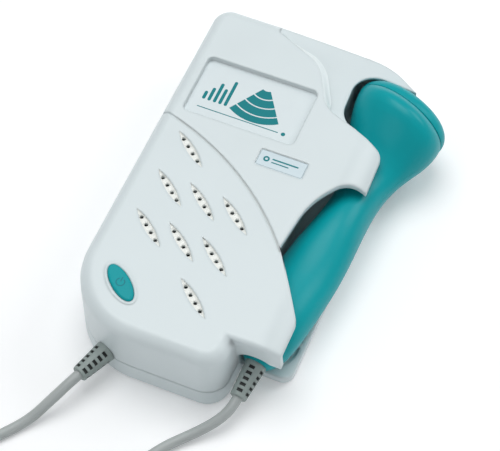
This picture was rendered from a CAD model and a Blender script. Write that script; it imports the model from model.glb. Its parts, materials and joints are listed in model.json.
import json
import math
import bmesh
import bpy
from mathutils import Matrix, Vector

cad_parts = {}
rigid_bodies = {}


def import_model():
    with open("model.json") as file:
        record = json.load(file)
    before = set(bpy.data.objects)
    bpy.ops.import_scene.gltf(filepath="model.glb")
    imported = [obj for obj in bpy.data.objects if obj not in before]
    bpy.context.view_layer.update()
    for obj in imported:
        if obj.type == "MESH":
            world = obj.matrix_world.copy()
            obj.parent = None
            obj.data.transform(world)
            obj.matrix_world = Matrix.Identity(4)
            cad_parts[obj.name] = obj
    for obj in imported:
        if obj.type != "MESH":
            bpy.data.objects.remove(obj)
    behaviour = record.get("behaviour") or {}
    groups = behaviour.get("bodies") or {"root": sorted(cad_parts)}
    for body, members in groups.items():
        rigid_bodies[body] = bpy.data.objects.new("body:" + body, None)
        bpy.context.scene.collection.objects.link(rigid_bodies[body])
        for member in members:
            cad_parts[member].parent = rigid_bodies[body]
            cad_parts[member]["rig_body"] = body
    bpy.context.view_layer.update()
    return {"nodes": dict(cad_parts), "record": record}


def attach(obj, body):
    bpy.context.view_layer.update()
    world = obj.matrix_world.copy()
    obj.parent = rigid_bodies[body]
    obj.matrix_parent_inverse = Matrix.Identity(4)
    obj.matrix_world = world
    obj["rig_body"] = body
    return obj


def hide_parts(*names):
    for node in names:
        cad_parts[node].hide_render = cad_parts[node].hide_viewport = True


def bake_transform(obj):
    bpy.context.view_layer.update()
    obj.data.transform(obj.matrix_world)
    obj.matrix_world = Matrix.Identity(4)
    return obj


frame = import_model()
nodes = frame["nodes"]
slotOf = {part["node"]: part["material_slot"] for part in frame["record"]["subparts"]}
mm = 0.001
weldGap = 0.002 * mm  # corners of the solids' loose triangles that lie nearer than this are one

cameraSet = {
    "target": (-3.67, -6.42, 15.0),  # mm
    "azimuth": 22.78,  # degrees round from the low end, towards the probe
    "elevation": 56.57,  # degrees
    "distance": 666.7,  # mm
    "lens": 144.0,  # mm
    "clipStart": 10.0,  # mm
}


def makeCamera(use):
    turn, rise = math.radians(use["azimuth"]), math.radians(use["elevation"])
    back = Vector((math.sin(turn) * math.cos(rise), -math.cos(turn) * math.cos(rise), math.sin(rise)))
    right = Vector((math.cos(turn), math.sin(turn), 0))
    data = bpy.data.cameras.new("camera")
    data.lens = use["lens"]
    data.clip_start = use["clipStart"] * mm
    camera = bpy.data.objects.new("camera", data)
    bpy.context.scene.collection.objects.link(camera)
    place = (Vector(use["target"]) + back * use["distance"]) * mm
    facing = Matrix((right, back.cross(right), back)).transposed()
    camera.matrix_world = Matrix.Translation(place) @ facing.to_4x4()
    bpy.context.scene.camera = camera


makeCamera(cameraSet)
print("camera made")


def linear(code):  # sRGB hex to linear colour
    parts = [int(code[i:i + 2], 16) / 255 for i in (0, 2, 4)]
    return [p / 12.92 if p <= 0.04045 else ((p + 0.055) / 1.055) ** 2.4 for p in parts] + [1.0]


def addNode(tree, kind, values=None, links=None):  # values go to a socket, or else to a setting
    node = tree.nodes.new(kind)
    for name, value in (values or {}).items():
        if isinstance(name, int) or name in node.inputs:
            node.inputs[name].default_value = value
        else:
            setattr(node, name, value)
    for name, socket in (links or {}).items():
        tree.links.new(socket, node.inputs[name])
    return node


def startMaterial(name):
    material = bpy.data.materials.new(name)
    material.use_nodes = True
    material.node_tree.nodes.clear()
    return material, material.node_tree


def endMaterial(tree, values, links):
    shader = addNode(tree, "ShaderNodeBsdfPrincipled", values, links)
    addNode(tree, "ShaderNodeOutputMaterial", {}, {"Surface": shader.outputs["BSDF"]})


# Injection-moulded ABS, and nylon moulded the same way. A spark-eroded mould leaves a fine satin
# grain, so highlights are broad and soft, and the flow of the melt shows as a slow drift in tone
# and gloss. The real grain is near 0.1 mm and is drawn coarser, or it would not show.
mouldSkin = {  # of every moulding, where its own row does not say otherwise
    "roughness": 0.36,
    "drift": 0.03,  # of the roughness, to each side
    "flow": 24.0,  # mm, from one change of tone to the next
    "grain": 0.5,  # mm
    "relief": 0.04,  # strength of the grain
    "shine": 0.5,  # specular level
    "soft": 0.2,  # mm, the round at which edges catch the light
    "floors": {},  # tones of the floors that are marked in the mesh
}
mouldings = {
    "coverAbs": {
        "tone": "DDE7E9",
        "deep": "D6E0E2",
        "relief": 0.05,
        "soft": 1.4,
        "floors": {"slotFloor": "F2F4EF", "grooveFloor": "C9D0D0"},  # polished, and holding dust
    },
    "slopeAbs": {"tone": "EEF6F7", "deep": "E8F1F2", "relief": 0.05, "soft": 0.0},  # a thin piece
    "probeAbs": {"tone": "02A6AE", "deep": "0099A1", "shine": 0.2},
    "faceCap": {"tone": "06A6AE", "deep": "009BA3", "roughness": 0.4, "relief": 0.03, "shine": 0.18},
    "buttonAbs": {"tone": "12A3AA", "deep": "0C989F", "grain": 0.4, "relief": 0.03, "shine": 0.14},
    "wheelAbs": {"tone": "43484B", "deep": "393D40", "roughness": 0.45, "grain": 0.4, "relief": 0.06},
    "blackAbs": {"tone": "1D1F21", "deep": "161819", "roughness": 0.48, "grain": 0.4, "relief": 0.06},
    "milkyNylon": {"tone": "E8E3D6", "deep": "DDD7C7", "roughness": 0.4, "grain": 0.3, "relief": 0.03},
    "tieNylon": {"tone": "202224", "deep": "191B1C", "roughness": 0.38, "grain": 0.3},
}


def mouldedPlastic(name, use):
    use = {**mouldSkin, **use}
    material, tree = startMaterial(name)
    place = addNode(tree, "ShaderNodeTexCoord").outputs["Object"]
    grain = addNode(
        tree,
        "ShaderNodeTexNoise",
        {"Scale": 1 / (use["grain"] * mm), "Detail": 2.0, "Roughness": 0.6},
        {"Vector": place},
    )
    flow = addNode(
        tree, "ShaderNodeTexNoise", {"Scale": 1 / (use["flow"] * mm), "Detail": 2.0}, {"Vector": place}
    )
    color = addNode(
        tree,
        "ShaderNodeMix",
        {"data_type": "RGBA", 6: linear(use["deep"]), 7: linear(use["tone"])},
        {0: flow.outputs["Fac"]},
    )
    for floorName, tone in use["floors"].items():
        floor = addNode(tree, "ShaderNodeAttribute", {"attribute_name": floorName})
        color = addNode(
            tree,
            "ShaderNodeMix",
            {"data_type": "RGBA", 7: linear(tone)},
            {0: floor.outputs["Fac"], 6: color.outputs[2]},
        )
    gloss = addNode(
        tree,
        "ShaderNodeMapRange",
        {
            "From Min": 0.3,
            "From Max": 0.7,
            "To Min": use["roughness"] - use["drift"],
            "To Max": use["roughness"] + use["drift"],
        },
        {"Value": flow.outputs["Fac"]},
    )
    # The bevel node rounds the light at an edge and not its shape. At 0 it leaves a thin piece alone,
    # as it would darken that from the faces of its underside.
    edges = addNode(tree, "ShaderNodeBevel", {"Radius": use["soft"] * mm, "samples": 8})
    relief = addNode(
        tree,
        "ShaderNodeBump",
        {"Strength": use["relief"], "Distance": 0.1 * mm},
        {"Height": grain.outputs["Fac"], "Normal": edges.outputs["Normal"]},
    )
    endMaterial(
        tree,
        {"IOR": 1.54, "Specular IOR Level": use["shine"]},
        {
            "Base Color": color.outputs[2],
            "Roughness": gloss.outputs["Result"],
            "Normal": relief.outputs["Normal"],
        },
    )
    return material


# Polycarbonate sheet, screen printed on its back: pale and even, under a clear glossy skin.
sheets = {  # mottle of the print and wave of the skin in mm
    "windowSheet": {"tone": "DFE9EB", "deep": "DAE4E7", "mottle": 6.0, "wave": 9.0},
    "badgeSheet": {"tone": "D3E3E9", "deep": "CDDDE4", "mottle": 6.0, "wave": 9.0},
}


def printedSheet(name, use):
    material, tree = startMaterial(name)
    place = addNode(tree, "ShaderNodeTexCoord").outputs["Object"]
    mottle = addNode(
        tree, "ShaderNodeTexNoise", {"Scale": 1 / (use["mottle"] * mm), "Detail": 3.0}, {"Vector": place}
    )
    color = addNode(
        tree,
        "ShaderNodeMix",
        {"data_type": "RGBA", 6: linear(use["deep"]), 7: linear(use["tone"])},
        {0: mottle.outputs["Fac"]},
    )
    wave = addNode(
        tree, "ShaderNodeTexNoise", {"Scale": 1 / (use["wave"] * mm), "Detail": 1.0}, {"Vector": place}
    )
    relief = addNode(
        tree, "ShaderNodeBump", {"Strength": 0.05, "Distance": 0.3 * mm}, {"Height": wave.outputs["Fac"]}
    )
    endMaterial(
        tree,
        {"IOR": 1.58, "Roughness": 0.3, "Coat Weight": 0.6, "Coat Roughness": 0.08, "Coat IOR": 1.5},
        {"Base Color": color.outputs[2], "Coat Normal": relief.outputs["Normal"]},
    )
    return material


# Screen ink: an even film with the mesh's faint orange peel, a little duller than the sheet.
inks = {  # peel in mm, drawn coarser than it is so that it shows
    "tealInk": {"tone": "02858C", "deep": "017A81", "peel": 0.4},
    "greyInk": {"tone": "A6B6BB", "deep": "9CACB1", "peel": 0.4},
    "deepInk": {"tone": "0D7F8C", "deep": "097480", "peel": 0.4},
}


def screenInk(name, use):
    material, tree = startMaterial(name)
    place = addNode(tree, "ShaderNodeTexCoord").outputs["Object"]
    peel = addNode(
        tree, "ShaderNodeTexNoise", {"Scale": 1 / (use["peel"] * mm), "Detail": 2.0}, {"Vector": place}
    )
    color = addNode(
        tree,
        "ShaderNodeMix",
        {"data_type": "RGBA", 6: linear(use["deep"]), 7: linear(use["tone"])},
        {0: peel.outputs["Fac"]},
    )
    relief = addNode(
        tree, "ShaderNodeBump", {"Strength": 0.1, "Distance": 0.05 * mm}, {"Height": peel.outputs["Fac"]}
    )
    endMaterial(
        tree,
        {"IOR": 1.5, "Roughness": 0.42, "Specular IOR Level": 0.25},
        {"Base Color": color.outputs[2], "Normal": relief.outputs["Normal"]},
    )
    return material


# Thermoplastic rubber, moulded: matt and slightly dusty, and the boots' slots go near black.
rubbers = {  # dust in mm, pit is the tone down in a slot
    "bootRubber": {"tone": "8C9895", "dusty": "A0ABA8", "pit": "1A1F1E", "dust": 1.5},
    "sealRubber": {"tone": "03626A", "dusty": "05707A", "pit": "03626A", "dust": 1.5},
}


def softRubber(name, use):
    material, tree = startMaterial(name)
    place = addNode(tree, "ShaderNodeTexCoord").outputs["Object"]
    dust = addNode(
        tree, "ShaderNodeTexNoise", {"Scale": 1 / (use["dust"] * mm), "Detail": 4.0}, {"Vector": place}
    )
    color = addNode(
        tree,
        "ShaderNodeMix",
        {"data_type": "RGBA", 6: linear(use["tone"]), 7: linear(use["dusty"])},
        {0: dust.outputs["Fac"]},
    )
    depth = addNode(tree, "ShaderNodeAttribute", {"attribute_name": "slotDepth"})
    shade = addNode(
        tree,
        "ShaderNodeMix",
        {"data_type": "RGBA", 7: linear(use["pit"])},
        {0: depth.outputs["Fac"], 6: color.outputs[2]},
    )
    relief = addNode(
        tree, "ShaderNodeBump", {"Strength": 0.12, "Distance": 0.1 * mm}, {"Height": dust.outputs["Fac"]}
    )
    endMaterial(
        tree,
        {"IOR": 1.5, "Roughness": 0.55},
        {"Base Color": shade.outputs[2], "Normal": relief.outputs["Normal"]},
    )
    return material


# Extruded PVC jacket: satin, with a slow wander in tone and in gloss from handling.
jackets = {  # wander and skin in mm, the skin drawn coarser than it is so that it shows
    "pvcJacket": {
        "tone": "B4BAB9",
        "deep": "A6ACAB",
        "roughness": (0.34, 0.5),
        "wander": 5.0,
        "skin": 0.5,
    },
}


def extrudedJacket(name, use):
    material, tree = startMaterial(name)
    place = addNode(tree, "ShaderNodeTexCoord").outputs["Object"]
    wander = addNode(
        tree, "ShaderNodeTexNoise", {"Scale": 1 / (use["wander"] * mm), "Detail": 3.0}, {"Vector": place}
    )
    skin = addNode(
        tree, "ShaderNodeTexNoise", {"Scale": 1 / (use["skin"] * mm), "Detail": 2.0}, {"Vector": place}
    )
    color = addNode(
        tree,
        "ShaderNodeMix",
        {"data_type": "RGBA", 6: linear(use["deep"]), 7: linear(use["tone"])},
        {0: wander.outputs["Fac"]},
    )
    gloss = addNode(
        tree,
        "ShaderNodeMapRange",
        {"To Min": use["roughness"][0], "To Max": use["roughness"][1]},
        {"Value": wander.outputs["Fac"]},
    )
    relief = addNode(
        tree, "ShaderNodeBump", {"Strength": 0.06, "Distance": 0.1 * mm}, {"Height": skin.outputs["Fac"]}
    )
    endMaterial(
        tree,
        {"IOR": 1.53},
        {
            "Base Color": color.outputs[2],
            "Roughness": gloss.outputs["Result"],
            "Normal": relief.outputs["Normal"],
        },
    )
    return material


# Epoxy-glass board under green solder mask: copper runs show as paler squared lines.
boards = {
    "maskedBoard": {
        "mask": "17492C",
        "copper": "2F7A45",
        "pitch": 4.0,  # mm
        "fold": 0.12,  # share of the pitch at which the runs turn back
        "edge": (0.045, 0.075),  # from gap to run, within a fold
    },
}


def maskedBoard(name, use):
    material, tree = startMaterial(name)
    place = addNode(tree, "ShaderNodeTexCoord").outputs["Object"]
    runs = addNode(
        tree,
        "ShaderNodeTexVoronoi",
        {"distance": "CHEBYCHEV", "feature": "F1", "Scale": 1 / (use["pitch"] * mm), "Randomness": 0.7},
        {"Vector": place},
    )
    edge = addNode(
        tree,
        "ShaderNodeMath",
        {"operation": "PINGPONG", 1: use["fold"]},
        {0: runs.outputs["Distance"]},
    )
    line = addNode(
        tree,
        "ShaderNodeMapRange",
        {"From Min": use["edge"][0], "From Max": use["edge"][1]},
        {"Value": edge.outputs[0]},
    )
    color = addNode(
        tree,
        "ShaderNodeMix",
        {"data_type": "RGBA", 6: linear(use["mask"]), 7: linear(use["copper"])},
        {0: line.outputs["Result"]},
    )
    relief = addNode(
        tree, "ShaderNodeBump", {"Strength": 0.3, "Distance": 0.05 * mm}, {"Height": line.outputs["Result"]}
    )
    endMaterial(
        tree,
        {"IOR": 1.52, "Roughness": 0.3, "Coat Weight": 0.4, "Coat Roughness": 0.15},
        {"Base Color": color.outputs[2], "Normal": relief.outputs["Normal"]},
    )
    return material


# Metals: zinc plate on screws, rolled and tinned sheet, nickel-plated spring wire, drawn aluminium
# and blackened steel. The grain of each moves the gloss and gives a hair of relief.
metals = {  # grain in mm, drawn coarser than it is so that it shows
    "zincSteel": {"tone": "BDBFC0", "roughness": 0.34, "grain": 0.8, "stretch": (1, 1, 1)},
    "tinnedSteel": {"tone": "CBCCC8", "roughness": 0.28, "grain": 1.6, "stretch": (1, 1, 1)},
    "nickelSteel": {"tone": "C8C4BA", "roughness": 0.24, "grain": 0.6, "stretch": (1, 1, 1)},
    "drawnAluminium": {"tone": "D2D4D6", "roughness": 0.3, "grain": 0.5, "stretch": (1, 1, 0.1)},
    "blackenedSteel": {"tone": "3B3C3E", "roughness": 0.42, "grain": 0.7, "stretch": (1, 1, 1)},
}
metalDrift = 0.07  # of the roughness, to each side


def workedMetal(name, use):
    material, tree = startMaterial(name)
    place = addNode(tree, "ShaderNodeTexCoord").outputs["Object"]
    drawn = addNode(tree, "ShaderNodeMapping", {"Scale": use["stretch"]}, {"Vector": place})
    grain = addNode(
        tree,
        "ShaderNodeTexNoise",
        {"Scale": 1 / (use["grain"] * mm), "Detail": 3.0},
        {"Vector": drawn.outputs["Vector"]},
    )
    gloss = addNode(
        tree,
        "ShaderNodeMapRange",
        {"To Min": use["roughness"] - metalDrift, "To Max": use["roughness"] + metalDrift},
        {"Value": grain.outputs["Fac"]},
    )
    relief = addNode(
        tree, "ShaderNodeBump", {"Strength": 0.06, "Distance": 0.05 * mm}, {"Height": grain.outputs["Fac"]}
    )
    endMaterial(
        tree,
        {"Base Color": linear(use["tone"]), "Metallic": 1.0},
        {"Roughness": gloss.outputs["Result"], "Normal": relief.outputs["Normal"]},
    )
    return material


# Woven polyester over the loudspeaker: black threads that cross over and under.
cloths = {
    "wovenCloth": {
        "gap": "0B0C0D",
        "yarn": "2B2D30",
        "thread": 0.7,  # mm, where a real one is near 0.25 and would not show
        "span": 0.314,  # of one wave at a scale of 1
    },
}


def wovenCloth(name, use):
    material, tree = startMaterial(name)
    place = addNode(tree, "ShaderNodeTexCoord").outputs["Object"]
    weft = addNode(
        tree,
        "ShaderNodeTexWave",
        {"bands_direction": "X", "Scale": use["span"] / (use["thread"] * mm)},
        {"Vector": place},
    )
    warp = addNode(
        tree,
        "ShaderNodeTexWave",
        {"bands_direction": "Y", "Scale": use["span"] / (use["thread"] * mm)},
        {"Vector": place},
    )
    over = addNode(
        tree,
        "ShaderNodeMath",
        {"operation": "MULTIPLY"},
        {0: weft.outputs["Fac"], 1: warp.outputs["Fac"]},
    )
    color = addNode(
        tree,
        "ShaderNodeMix",
        {"data_type": "RGBA", 6: linear(use["gap"]), 7: linear(use["yarn"])},
        {0: over.outputs[0]},
    )
    relief = addNode(
        tree, "ShaderNodeBump", {"Strength": 0.6, "Distance": 0.15 * mm}, {"Height": over.outputs[0]}
    )
    endMaterial(
        tree,
        {"Roughness": 0.85, "Sheen Weight": 0.3},
        {"Base Color": color.outputs[2], "Normal": relief.outputs["Normal"]},
    )
    return material


# Pressed paper pulp, ferrite, loaded epoxy and piezo ceramic: dry surfaces with a visible grit.
gritty = {  # grit in mm, drawn coarser than it is so that it shows
    "conePulp": {"tone": "303130", "deep": "1F2020", "grit": 0.9, "roughness": 0.85, "relief": 0.35},
    "sinteredFerrite": {"tone": "46474A", "deep": "343537", "grit": 0.5, "roughness": 0.6, "relief": 0.2},
    "loadedEpoxy": {"tone": "2A2B2D", "deep": "1C1D1E", "grit": 0.4, "roughness": 0.7, "relief": 0.2},
    "silveredCeramic": {"tone": "CFCBC0", "deep": "BDB8AB", "grit": 0.6, "roughness": 0.45, "relief": 0.1},
}


def grittySolid(name, use):
    material, tree = startMaterial(name)
    place = addNode(tree, "ShaderNodeTexCoord").outputs["Object"]
    grit = addNode(
        tree,
        "ShaderNodeTexNoise",
        {"Scale": 1 / (use["grit"] * mm), "Detail": 5.0, "Roughness": 0.7},
        {"Vector": place},
    )
    color = addNode(
        tree,
        "ShaderNodeMix",
        {"data_type": "RGBA", 6: linear(use["deep"]), 7: linear(use["tone"])},
        {0: grit.outputs["Fac"]},
    )
    relief = addNode(
        tree,
        "ShaderNodeBump",
        {"Strength": use["relief"], "Distance": 0.15 * mm},
        {"Height": grit.outputs["Fac"]},
    )
    endMaterial(
        tree,
        {"Roughness": use["roughness"]},
        {"Base Color": color.outputs[2], "Normal": relief.outputs["Normal"]},
    )
    return material


# Battery cells in a shrunk-on sleeve: a coppery band at one end and dark film along the rest.
sleeves = {
    "shrinkSleeve": {
        "film": "2B2E33",
        "band": "B0764A",
        "bandEnd": -8.0,  # mm, along the unit
        "blur": 0.1,  # mm, to each side
        "crinkle": 3.0,  # mm
    },
}


def shrinkSleeve(name, use):
    material, tree = startMaterial(name)
    place = addNode(tree, "ShaderNodeTexCoord").outputs["Object"]
    along = addNode(tree, "ShaderNodeSeparateXYZ", {}, {"Vector": place})
    band = addNode(
        tree,
        "ShaderNodeMapRange",
        {
            "From Min": (use["bandEnd"] - use["blur"]) * mm,
            "From Max": (use["bandEnd"] + use["blur"]) * mm,
        },
        {"Value": along.outputs["Y"]},
    )
    crinkle = addNode(
        tree, "ShaderNodeTexNoise", {"Scale": 1 / (use["crinkle"] * mm), "Detail": 2.0}, {"Vector": place}
    )
    color = addNode(
        tree,
        "ShaderNodeMix",
        {"data_type": "RGBA", 6: linear(use["film"]), 7: linear(use["band"])},
        {0: band.outputs["Result"]},
    )
    relief = addNode(
        tree, "ShaderNodeBump", {"Strength": 0.1, "Distance": 0.2 * mm}, {"Height": crinkle.outputs["Fac"]}
    )
    endMaterial(
        tree,
        {"IOR": 1.55, "Roughness": 0.28, "Coat Weight": 0.5, "Coat Roughness": 0.1},
        {"Base Color": color.outputs[2], "Normal": relief.outputs["Normal"]},
    )
    return material


finish = {}
for maker, family in (
    (mouldedPlastic, mouldings),
    (printedSheet, sheets),
    (screenInk, inks),
    (softRubber, rubbers),
    (extrudedJacket, jackets),
    (maskedBoard, boards),
    (workedMetal, metals),
    (wovenCloth, cloths),
    (grittySolid, gritty),
    (shrinkSleeve, sleeves),
):
    for name, use in family.items():
        finish[name] = maker(name, use)

slotFinish = {  # the part's slots and the finish that each wears
    "cover_white": "coverAbs",
    "window_print": "windowSheet",
    "badge_print": "badgeSheet",
    "button_teal": "buttonAbs",
    "circuit_board": "maskedBoard",
    "screw_steel": "zincSteel",
    "black_plastic": "blackAbs",
    "shield_tin": "tinnedSteel",
    "capacitor_aluminium": "drawnAluminium",
    "speaker_cloth": "wovenCloth",
    "speaker_steel": "blackenedSteel",
    "speaker_paper": "conePulp",
    "magnet_iron": "sinteredFerrite",
    "wheel_plastic": "wheelAbs",
    "cell_wrap": "shrinkSleeve",
    "contact_steel": "nickelSteel",
    "probe_teal": "probeAbs",
    "face_teal": "faceCap",
    "seal_rubber": "sealRubber",
    "crystal_ceramic": "silveredCeramic",
    "backing_rubber": "loadedEpoxy",
    "boot_rubber": "bootRubber",
    "cord_rubber": "pvcJacket",
    "connector_plastic": "milkyNylon",
    "tie_plastic": "tieNylon",
}
for name, node in nodes.items():
    node.data.materials.clear()
    node.data.materials.append(finish[slotFinish[slotOf[name]]])
print("materials made")


def addPiece(name, mesh, body, material, covers=()):
    piece = bpy.data.objects.new(name, mesh)
    bpy.context.scene.collection.objects.link(piece)
    mesh.materials.clear()
    mesh.materials.append(finish[material])
    if covers:
        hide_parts(*covers)
    if body:
        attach(piece, body)
    return piece


# Merged copies of the solids that show, whose sharp outward edges get the small round of a mould.
easedEdges = {  # mm
    "front_cover": 0.22,
    "rear_cover": 0.22,
    "battery_door": 0.15,
    "power_button": 0.2,
    "window_plate": 0.06,
    "badge_plate": 0.06,
    "probe_lower_shell": 0.1,
    "probe_upper_shell": 0.1,
    "probe_face": 0.15,
    "unit_boot": 0.1,
    "probe_boot": 0.1,
    "volume_wheel": 0.1,
}

easing = {
    "flat": 0.6,  # degrees, up to which neighbouring triangles are one face
    "sharp": 30.0,  # degrees, over which an edge is rounded
    "segments": 3,
}

floorBoxes = {  # mm, low and high corner round the floors of the slots and of the groove
    "front_cover": {
        "slotFloor": ((-37.5, -54.0, 28.2), (8.0, 16.0, 28.4)),
        "grooveFloor": ((-41.0, -26.0, 28.42), (14.0, 20.0, 28.6)),
    },
}


def inBox(place, low, high):
    return all(a < b < c for a, b, c in zip(low, place, high))


def easedCopy(name, width, use):
    mesh = nodes[name].data.copy()
    form = bmesh.new()
    form.from_mesh(mesh)
    bmesh.ops.remove_doubles(form, verts=form.verts, dist=weldGap)
    bmesh.ops.dissolve_limit(
        form,
        angle_limit=math.radians(use["flat"]),
        verts=form.verts,
        edges=form.edges,
        delimit={"MATERIAL"},
    )
    weight = form.edges.layers.float.new("bevel_weight_edge")
    sharp = math.radians(use["sharp"])
    for edge in form.edges:
        if len(edge.link_faces) == 2 and edge.calc_face_angle() > sharp and edge.is_convex:
            edge[weight] = 1.0
    for floorName, (low, high) in floorBoxes.get(name, {}).items():
        mark = form.verts.layers.float.new(floorName)
        for vert in form.verts:
            vert[mark] = float(inBox(vert.co / mm, low, high))
    form.to_mesh(mesh)
    form.free()
    mesh.shade_smooth()
    words = name.split("_")
    piece = addPiece(
        words[0] + "".join(word.capitalize() for word in words[1:]),
        mesh,
        nodes[name]["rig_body"],
        slotFinish[slotOf[name]],
        [name],
    )
    bevel = piece.modifiers.new("easedEdges", "BEVEL")
    bevel.width = width * mm
    bevel.segments = use["segments"]
    bevel.limit_method = "WEIGHT"
    bevel.use_clamp_overlap = False
    normals = piece.modifiers.new("flatFaces", "WEIGHTED_NORMAL")
    normals.keep_sharp = True
    return piece


eased = {name: easedCopy(name, width, easing) for name, width in easedEdges.items()}

ridgeSlope = {  # mm: the step above the wing runs out in a soft slope
    "low": (-16.5, 38.9, 28.9),  # box round the step's upper edge
    "high": (8.6, 62.9, 29.1),
    "upright": 0.1,  # most that a step's wall leans, as the height of its normal
    "towards": 0.5,  # least that the wall faces the wing, as x plus y of its normal
    "wing": 26.4,  # the wing's height over the origin
    "fall": 4.0,  # degrees, down to the right
    "width": 2.4,
    "lap": 0.4,  # covers the step's own edge
    "lift": 0.02,  # over the cover
    "taper": 7.0,  # from each end to the full width
    "steps": 8,
    "crease": 50.0,  # degrees
}


def keepStep(form, outward, use):  # leaves the step's upper edge, and at its corners the way out
    step = []
    for edge in form.edges:
        middle = (edge.verts[0].co + edge.verts[1].co) / 2 / mm
        wall = min((face.normal.copy() for face in edge.link_faces), key=lambda normal: normal.z)
        facing = abs(wall.z) < use["upright"] and wall.x + wall.y > use["towards"]
        if facing and inBox(middle, use["low"], use["high"]):
            step.append(edge)
            for vert in edge.verts:
                vert[outward] = vert[outward] + wall
    bmesh.ops.delete(form, geom=form.faces[:], context="FACES_ONLY")
    bmesh.ops.delete(form, geom=[edge for edge in form.edges if edge not in step], context="EDGES")
    bmesh.ops.delete(form, geom=[vert for vert in form.verts if not vert.link_edges], context="VERTS")


def makeRidgeSlope(use):
    form = bmesh.new()
    form.from_mesh(nodes["front_cover"].data)
    bmesh.ops.remove_doubles(form, verts=form.verts, dist=weldGap)
    form.normal_update()
    outward = form.verts.layers.float_vector.new("outward")
    base = form.verts.layers.float_vector.new("base")
    keepStep(form, outward, use)
    ends = [vert.co.copy() for vert in form.verts if len(vert.link_edges) == 1]
    for vert in form.verts:
        share = min(1.0, min((vert.co - end).length for end in ends) / (use["taper"] * mm))
        outside = vert[outward].normalized()
        vert[outward] = outside * (use["width"] + use["lap"]) * mm * math.sin(share * math.pi / 2)
        vert.co -= outside * use["lap"] * mm * share
        vert.co.z += use["lift"] * mm
        vert[base] = vert.co
    row = form.edges[:]
    print("ridge slope starts from", len(row), "edges")
    turns = [math.pi * (i + 1) / use["steps"] for i in range(use["steps"])]
    slope = [(turn / math.pi, 0.5 + 0.5 * math.cos(turn)) for turn in turns]
    for reach, height in slope + [(0, 0), (0, 1)]:  # down the slope, back under it and up the wall
        made = bmesh.ops.extrude_edge_only(form, edges=row)["geom"]
        row = [item for item in made if isinstance(item, bmesh.types.BMEdge)]
        for vert in [item for item in made if isinstance(item, bmesh.types.BMVert)]:
            vert.co = vert[base] + vert[outward] * reach
            low = use["wing"] * mm - vert.co.x * math.tan(math.radians(use["fall"]))
            vert.co.z = low + (vert[base].z - low) * height
    bmesh.ops.remove_doubles(form, verts=form.verts, dist=weldGap)
    bmesh.ops.recalc_face_normals(form, faces=form.faces)
    mesh = bpy.data.meshes.new("ridgeSlope")
    form.to_mesh(mesh)
    form.free()
    mesh.shade_smooth()
    mesh.set_sharp_from_angle(angle=math.radians(use["crease"]))
    addPiece("ridgeSlope", mesh, "monitor", "slopeAbs")


makeRidgeSlope(ridgeSlope)

cordExit = {  # mm, where the cord leaves each boot
    "unit_boot": (-33.56, -77.0, 9.4),
    "probe_boot": (16.52, -64.68, 8.51),
}

bootTaper = {  # mm
    "roots": {"unit_boot": (-29.27, -65.79, 9.4), "probe_boot": (17.8, -52.5, 11.0)},
    "rootRadius": 3.7,
    "tipRadius": 2.8,
    "dark": 0.35,  # depth over which a slot turns dark
    "clear": 0.3,  # share of that depth that stays clear
    "slotted": (0.05, 0.97),  # from and to, as shares of the way to the cord's exit
}


def markSlots(piece, root, tip, use):  # how deep each point lies under the boot's outer cone
    mesh = piece.data
    start, axis = Vector(root) * mm, (Vector(tip) - Vector(root)) * mm
    depth = mesh.attributes.new("slotDepth", "FLOAT", "POINT")
    for point, mark in zip(mesh.vertices, depth.data):
        share = (point.co - start).dot(axis) / axis.length_squared
        radius = (point.co - start - axis * share).length
        outer = (use["rootRadius"] + (use["tipRadius"] - use["rootRadius"]) * share) * mm
        if use["slotted"][0] < share < use["slotted"][1]:
            mark.value = min(1.0, max(0.0, (outer - radius) / (use["dark"] * mm) - use["clear"]))


for name, root in bootTaper["roots"].items():
    markSlots(eased[name], root, cordExit[name], bootTaper)
print("mouldings made")

leadSet = {  # mm
    "diameter": 3.5,
    "unitRoute": [
        cordExit["unit_boot"],
        (-35.34, -81.67, 9.4), (-39.0, -88.2, 6.2), (-43.8, -95.6, 1.75), (-52.0, -106.0, 1.75),
        (-59.6, -117.4, 1.75), (-65.0, -129.6, 1.75), (-68.2, -141.5, 1.75),
    ],
    "probeRoute": [
        cordExit["probe_boot"],
        (16.06, -69.07, 7.61), (12.8, -74.0, 5.3), (7.5, -79.0, 2.6), (-0.5, -87.5, 1.75),
        (-6.5, -99.5, 1.75), (-9.2, -114.5, 1.75), (-9.3, -133.5, 1.75),
    ],
    "coilCentre": (-38.7, -153.0),
    "entry": 30.05,  # radius where a run meets the coil
    "outer": 26.25,
    "inner": 15.75,
    "heights": (1.75, 2.35, 5.85),  # the runs and the two layers
    "turns": 3,  # in each layer
    "perTurn": 18,  # control points
    "inside": 0.985,  # radius of the line as a share of its control points'
    "blendFrom": (-7.5, 0.0, 0.0),  # up to here it stays with the monitor
    "blendTo": (15.5, 0.0, 0.0),  # and from here on it follows the probe
}


def coilPoints(use):
    floor, low, high = use["heights"]
    fall = use["outer"] - use["inner"]
    spread = use["entry"] - use["outer"]
    winding, step = 360 * use["turns"], 360 / use["perTurn"]

    def drop(u):
        turn = u * math.pi / 2
        return use["outer"] + spread * math.sin(turn), floor + (high - floor) * math.cos(turn)

    stages = [  # start and span in degrees, and radius and height along it: in, wind, climb, wind, out
        (180, 90, lambda u: (use["entry"] - spread * u, floor + (low - floor) * u)),
        (270, winding, lambda u: (use["outer"] - fall * u, low)),
        (270, 360, lambda u: (use["inner"], low + (high - low) * math.sqrt(1 - (1 - u) ** 2))),
        (270, winding, lambda u: (use["inner"] + fall * u, high)),
        (270, 90, drop),
    ]
    points = []
    for start, span, place in stages:
        count = round(span / step)
        for i in range(count):
            radius, height = place(i / count)
            turn = math.radians(start + span * i / count)
            points.append((
                use["coilCentre"][0] + radius / use["inside"] * math.cos(turn),
                use["coilCentre"][1] + radius / use["inside"] * math.sin(turn),
                height,
            ))
    points.append((use["coilCentre"][0] + use["entry"], use["coilCentre"][1], floor))
    return points


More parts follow.
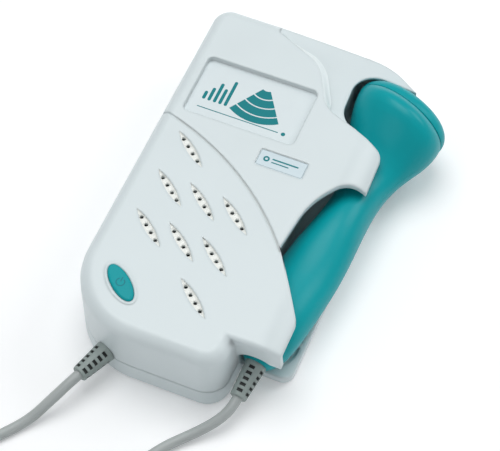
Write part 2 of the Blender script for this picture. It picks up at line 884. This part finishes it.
def lineMesh(name, points, depth=0.0):
    data = bpy.data.curves.new(name, "CURVE")
    data.dimensions = "3D"
    data.resolution_u = 5
    data.bevel_depth = depth * mm
    data.bevel_resolution = 5
    line = data.splines.new("NURBS")
    line.points.add(len(points) - 1)
    for point, place in zip(line.points, points):
        point.co = (place[0] * mm, place[1] * mm, place[2] * mm, 1)
    line.order_u = 3
    line.use_endpoint_u = True
    curve = bpy.data.objects.new(name, data)
    mesh = bpy.data.meshes.new_from_object(curve)
    bpy.data.objects.remove(curve)
    return mesh


def makeLead(use):
    points = use["unitRoute"] + coilPoints(use) + use["probeRoute"][::-1]
    path = [vertex.co.copy() for vertex in lineMesh("leadLine", points).vertices]
    mesh = lineMesh("lead", points, use["diameter"] / 2)
    mesh.shade_smooth()
    lead = addPiece(
        "lead", mesh, None, "pvcJacket", ["lead_unit_run", "lead_coil", "lead_probe_run"]
    )
    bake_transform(lead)


makeLead(leadSet)


# Prints are thin films: flat forms, made in mm, lifted by the ink's thickness, which is drawn
# thicker than real ink.
filmWeld = 0.001  # mm


def filmPiece(name, form, height, material, body, thickness=0.03):
    faces = form.faces[:]
    bmesh.ops.recalc_face_normals(form, faces=faces)
    lifted = bmesh.ops.extrude_face_region(form, geom=faces, use_keep_orig=True)
    top = [item for item in lifted["geom"] if isinstance(item, bmesh.types.BMVert)]
    bmesh.ops.translate(form, verts=top, vec=(0, 0, thickness))
    bmesh.ops.translate(form, verts=form.verts, vec=(0, 0, height))
    bmesh.ops.scale(form, verts=form.verts, vec=(mm, mm, mm))
    bmesh.ops.recalc_face_normals(form, faces=form.faces)
    mesh = bpy.data.meshes.new(name)
    form.to_mesh(mesh)
    form.free()
    addPiece(name, mesh, body, material)


def addSector(form, centre, inner, outer, start, sweep, steps=24):  # ring part, angles from +X
    turn = Matrix.Rotation(math.radians(start), 4, "Z")
    ends = [
        form.verts.new(Vector((*centre, 0)) + turn @ Vector((radius, 0, 0))) for radius in (inner, outer)
    ]
    edge = form.edges.new(ends)
    bmesh.ops.spin(
        form,
        geom=ends + [edge],
        cent=(*centre, 0),
        axis=(0, 0, 1),
        angle=math.radians(sweep),
        steps=steps,
        use_merge=sweep == 360,
    )


def addPill(form, start, end, width, ends=10):  # a round-ended stroke from one point to another
    along = Vector(end) - Vector(start)
    turn = math.degrees(math.atan2(along.y, along.x))
    side = Vector((-along.y, along.x)).normalized() * width / 2
    corners = [Vector(start) - side, Vector(end) - side, Vector(end) + side, Vector(start) + side]
    form.faces.new([form.verts.new((corner.x, corner.y, 0)) for corner in corners])
    addSector(form, end, 0.0, width / 2, turn - 90, 180, ends)
    addSector(form, start, 0.0, width / 2, turn + 90, 180, ends)


windowArt = {  # mm, on the display plate
    "height": 27.0,
    "fanTop": (-16.6, 41.6),
    "fanOpen": 66.0,  # degrees
    "fanRings": [(2.6, 6.0), (6.5, 9.7), (10.2, 13.4), (13.9, 16.6)],
    "bars": [(-35.4, 2.4), (-33.4, 4.6), (-31.4, 7.4), (-29.4, 5.6), (-27.4, 9.8)],  # place, height
    "barBase": 28.4,
    "barWidth": 1.15,
    "line": ((-36.0, 24.4), (-6.6, 24.4)),
    "lineWidth": 0.32,
    "dots": [(-4.6, 24.4, 0.75)],  # place and radius
}


def makeWindowArt(use):
    form = bmesh.new()
    for inner, outer in use["fanRings"]:
        addSector(form, use["fanTop"], inner, outer, -90 - use["fanOpen"] / 2, use["fanOpen"])
    for place, height in use["bars"]:
        addPill(form, (place, use["barBase"]), (place, use["barBase"] + height), use["barWidth"])
    addPill(form, *use["line"], use["lineWidth"])
    for x, y, radius in use["dots"]:
        addSector(form, (x, y), 0.0, radius, 0, 360)
    bmesh.ops.remove_doubles(form, verts=form.verts, dist=filmWeld)
    filmPiece("windowArt", form, use["height"], "tealInk", "monitor")


makeWindowArt(windowArt)

badgeArt = {  # mm, on the badge plate
    "height": 28.7,
    "centre": (0.0, 11.9),
    "size": (16.5, 6.3),
    "round": 0.7,
    "line": 0.14,
    "mark": (-5.4, 0.0, 1.1),  # place from the centre, and radius
    "markBore": 0.45,  # share of that radius
    "strokes": [((-3.2, 0.55), (5.6, 0.55), 0.55), ((-3.2, -0.75), (2.6, -0.75), 0.4)],
}


def makeBadgeArt(use):
    x, y = use["centre"]
    form = bmesh.new()
    bmesh.ops.create_grid(form, x_segments=1, y_segments=1, size=0.5)  # a square of 1 mm
    bmesh.ops.scale(form, verts=form.verts, vec=(*use["size"], 1))
    bmesh.ops.translate(form, verts=form.verts, vec=(x, y, 0))
    bmesh.ops.bevel(
        form,
        geom=form.verts[:],
        offset=use["round"],
        offset_type="OFFSET",
        segments=5,
        profile=0.5,
        affect="VERTICES",
        material=-1,
    )
    panel = form.faces[:]
    bmesh.ops.inset_region(
        form, faces=panel, thickness=use["line"], use_even_offset=True, use_boundary=True
    )
    bmesh.ops.delete(form, geom=panel, context="FACES")
    filmPiece("badgeOutline", form, use["height"], "greyInk", "monitor")
    form = bmesh.new()
    markX, markY, radius = use["mark"]
    addSector(form, (x + markX, y + markY), radius * use["markBore"], radius, 0, 360)
    for start, end, width in use["strokes"]:
        addPill(form, (x + start[0], y + start[1]), (x + end[0], y + end[1]), width)
    bmesh.ops.remove_doubles(form, verts=form.verts, dist=filmWeld)
    filmPiece("badgeArt", form, use["height"], "tealInk", "monitor")


makeBadgeArt(badgeArt)

powerMark = {  # mm, the plain ring-and-bar sign on the button
    "height": 29.9,
    "centre": (-29.6, -51.3),
    "radius": 1.4,
    "width": 0.34,
    "open": 64.0,  # degrees, at the top of the ring
    "steps": 36,
    "bar": (0.3, 1.85),  # from and to, above the centre
    "film": 0.02,  # thickness
}


def makePowerMark(use):
    x, y = use["centre"]
    form = bmesh.new()
    inner, outer = use["radius"] - use["width"] / 2, use["radius"] + use["width"] / 2
    addSector(form, (x, y), inner, outer, 90 + use["open"] / 2, 360 - use["open"], use["steps"])
    addPill(form, (x, y + use["bar"][0]), (x, y + use["bar"][1]), use["width"])
    bmesh.ops.remove_doubles(form, verts=form.verts, dist=filmWeld)
    filmPiece("powerMark", form, use["height"], "deepInk", "button", use["film"])


makePowerMark(powerMark)
print("prints made")

studio = {
    "floorSize": 6.0,  # m
    "floorDrop": 0.1,  # mm under the back
    "floorTone": "F8F9FA",
    "floorLift": 0.16,  # added where the eye or a reflection sees the floor
    "worldTone": "F6F9FB",
    "worldLevel": 0.39,
    "lamps": {  # place and size in m, power in W
        "key": {"place": (-0.16, 0.22, 1.2), "size": 0.95, "power": 7.4},
        "rim": {"place": (0.5, 0.55, 0.6), "size": 0.5, "power": 1.9},
        "fill": {"place": (-0.35, -0.75, 0.42), "size": 0.6, "power": 0.7},
    },
}


def makeFloor(use):
    form = bmesh.new()
    bmesh.ops.create_grid(form, x_segments=1, y_segments=1, size=use["floorSize"] / 2)
    bmesh.ops.translate(form, verts=form.verts, vec=(0, 0, -use["floorDrop"] * mm))
    mesh = bpy.data.meshes.new("floor")
    form.to_mesh(mesh)
    form.free()
    floor = bpy.data.objects.new("floor", mesh)
    bpy.context.scene.collection.objects.link(floor)
    material, tree = startMaterial("floorPaper")  # matt seamless paper, white to the eye
    path = addNode(tree, "ShaderNodeLightPath")
    near = addNode(
        tree,
        "ShaderNodeMath",
        {"operation": "MAXIMUM"},
        {0: path.outputs["Is Camera Ray"], 1: path.outputs["Is Glossy Ray"]},
    )
    seen = addNode(
        tree,
        "ShaderNodeMath",
        {"operation": "MAXIMUM"},
        {0: near.outputs[0], 1: path.outputs["Is Transmission Ray"]},
    )
    lift = addNode(
        tree, "ShaderNodeMath", {"operation": "MULTIPLY", 1: use["floorLift"]}, {0: seen.outputs[0]}
    )
    glow = addNode(tree, "ShaderNodeEmission", {"Color": (1, 1, 1, 1)}, {"Strength": lift.outputs[0]})
    paper = addNode(tree, "ShaderNodeBsdfDiffuse", {"Color": linear(use["floorTone"])})
    both = addNode(tree, "ShaderNodeAddShader", {}, {0: glow.outputs[0], 1: paper.outputs[0]})
    addNode(tree, "ShaderNodeOutputMaterial", {}, {"Surface": both.outputs[0]})
    mesh.materials.append(material)


def makeLight(use):
    world = bpy.data.worlds.new("world")
    world.use_nodes = True
    ground = world.node_tree.nodes["Background"]
    ground.inputs["Color"].default_value = linear(use["worldTone"])
    ground.inputs["Strength"].default_value = use["worldLevel"]
    bpy.context.scene.world = world
    for name, lampSet in use["lamps"].items():
        lamp = bpy.data.lights.new(name, "AREA")
        lamp.shape = "DISK"
        lamp.size = lampSet["size"]
        lamp.energy = lampSet["power"]
        holder = bpy.data.objects.new(name, lamp)
        bpy.context.scene.collection.objects.link(holder)
        holder.location = lampSet["place"]
        holder.rotation_euler = (-Vector(lampSet["place"])).to_track_quat("-Z", "Y").to_euler()


makeFloor(studio)
makeLight(studio)
bpy.context.scene.view_settings.view_transform = "Standard"
print("studio made")
